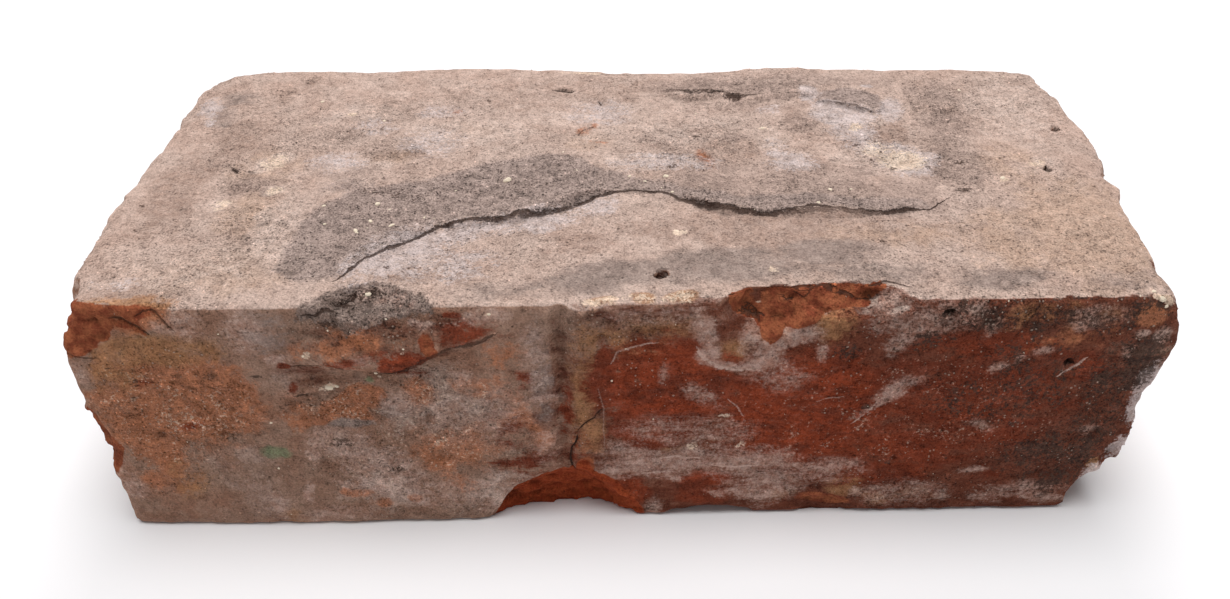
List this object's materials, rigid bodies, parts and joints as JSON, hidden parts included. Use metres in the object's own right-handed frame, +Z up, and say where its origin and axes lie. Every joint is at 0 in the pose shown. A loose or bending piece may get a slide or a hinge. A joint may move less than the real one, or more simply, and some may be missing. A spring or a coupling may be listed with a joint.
{
  "type": "clay brick",
  "caption": "Old handmade solid clay brick with worn, chipped edges, a fold crease in one long face and a thin mortar skin on top; rests on its flat bed face.",
  "frame": {"origin": "middle of the brick's bounding box, at the level of the bed face it lies on", "axes": "+X along the length towards the ragged right header, +Y through the width from the creased stretcher face to the back one, +Z up from the bed"},
  "size_m": [0.24, 0.1142, 0.0659],
  "materials": {
    "fired_clay": "matt, sandy and worn, with red breaks and traces of lime mortar"
  },
  "bodies": {
    "root": {"brick": "fired_clay"}
  },
  "joints": []
}
